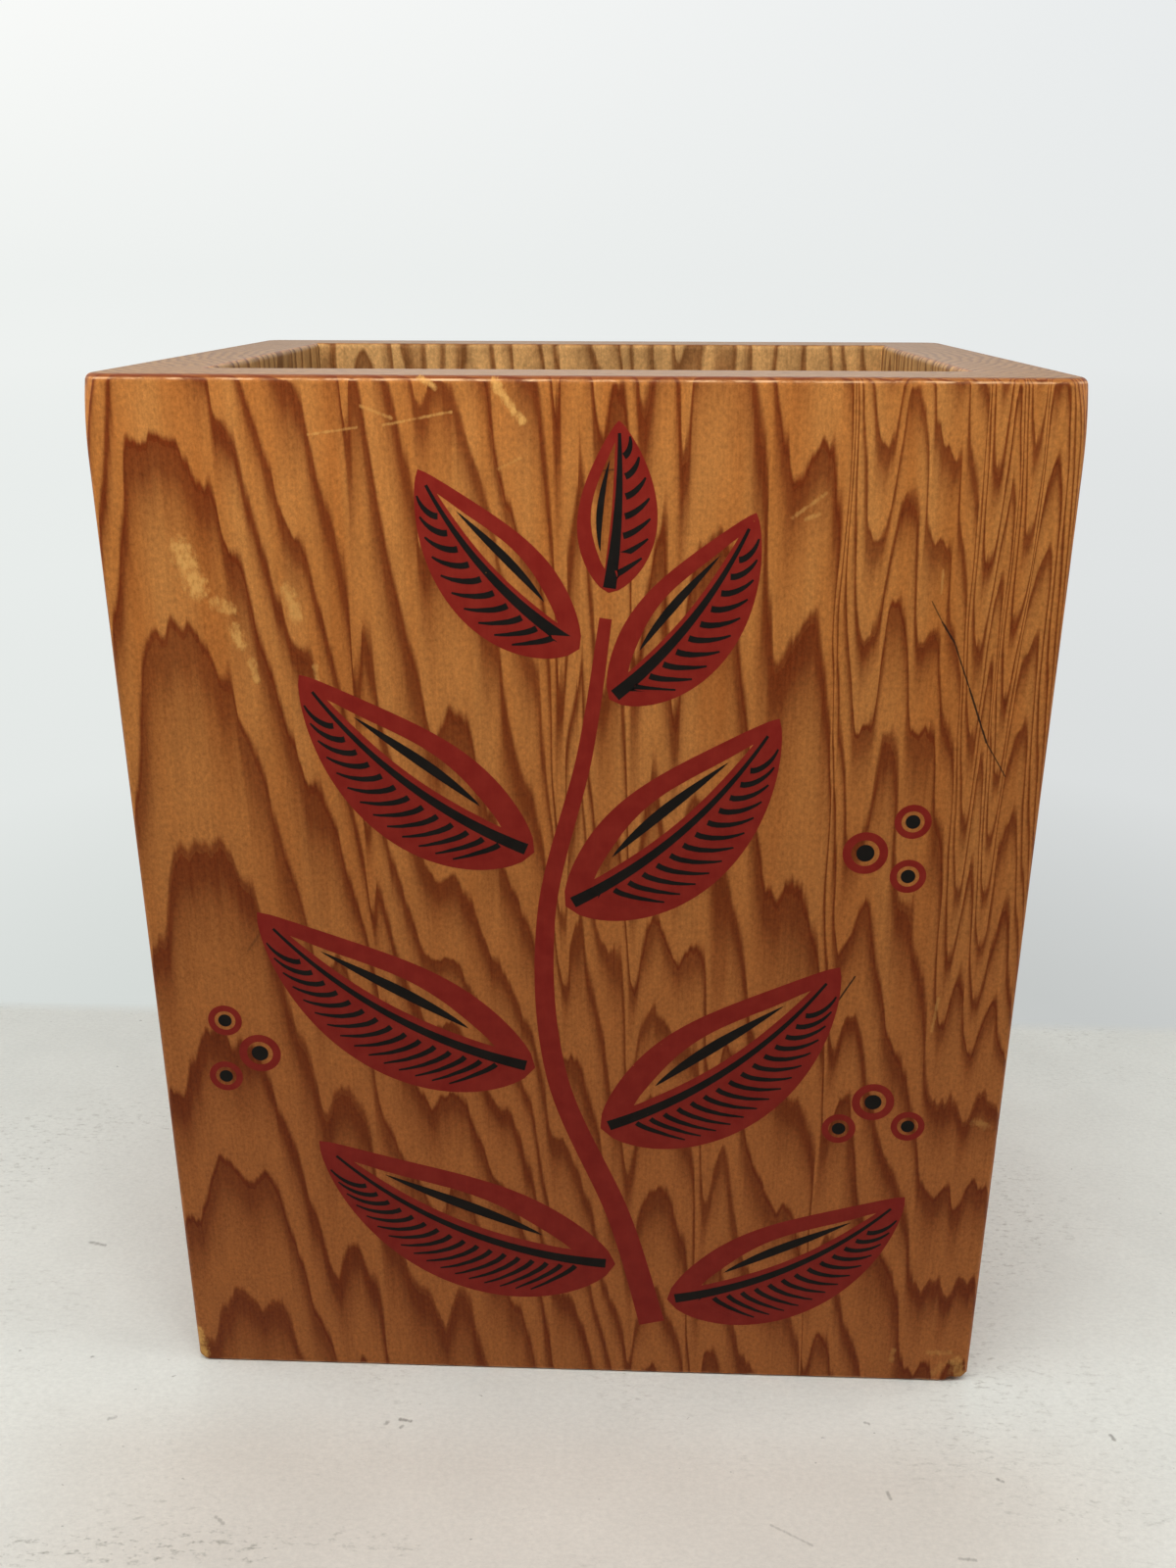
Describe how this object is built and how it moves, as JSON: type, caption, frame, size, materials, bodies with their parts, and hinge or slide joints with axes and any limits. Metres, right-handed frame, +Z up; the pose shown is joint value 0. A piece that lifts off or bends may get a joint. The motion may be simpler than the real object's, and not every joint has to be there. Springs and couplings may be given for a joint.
{
  "type": "cedar box",
  "caption": "Tall open-topped rectangular box of thick cedar boards with mitred, eased corners, a bottom let into a rabbet and a printed front.",
  "frame": {"origin": "middle of the face that the box stands on", "axes": "+Z up to the open rim, -Y out of the printed front, +X to the right seen from the front"},
  "size_m": [0.1842, 0.1366, 0.2286],
  "materials": {
    "cedar_front": "flat-sawn western red cedar under satin lacquer",
    "cedar_back": "flat-sawn western red cedar under satin lacquer",
    "cedar_left": "flat-sawn western red cedar under satin lacquer",
    "cedar_right": "flat-sawn western red cedar under satin lacquer",
    "cedar_bottom": "sanded cedar, thinly sealed",
    "red_ink": "opaque brick red screen ink under satin lacquer",
    "black_ink": "opaque black screen ink under satin lacquer"
  },
  "bodies": {
    "root": {"front_board": "cedar_front", "back_board": "cedar_back", "left_board": "cedar_left", "right_board": "cedar_right", "bottom_board": "cedar_bottom"}
  },
  "joints": []
}
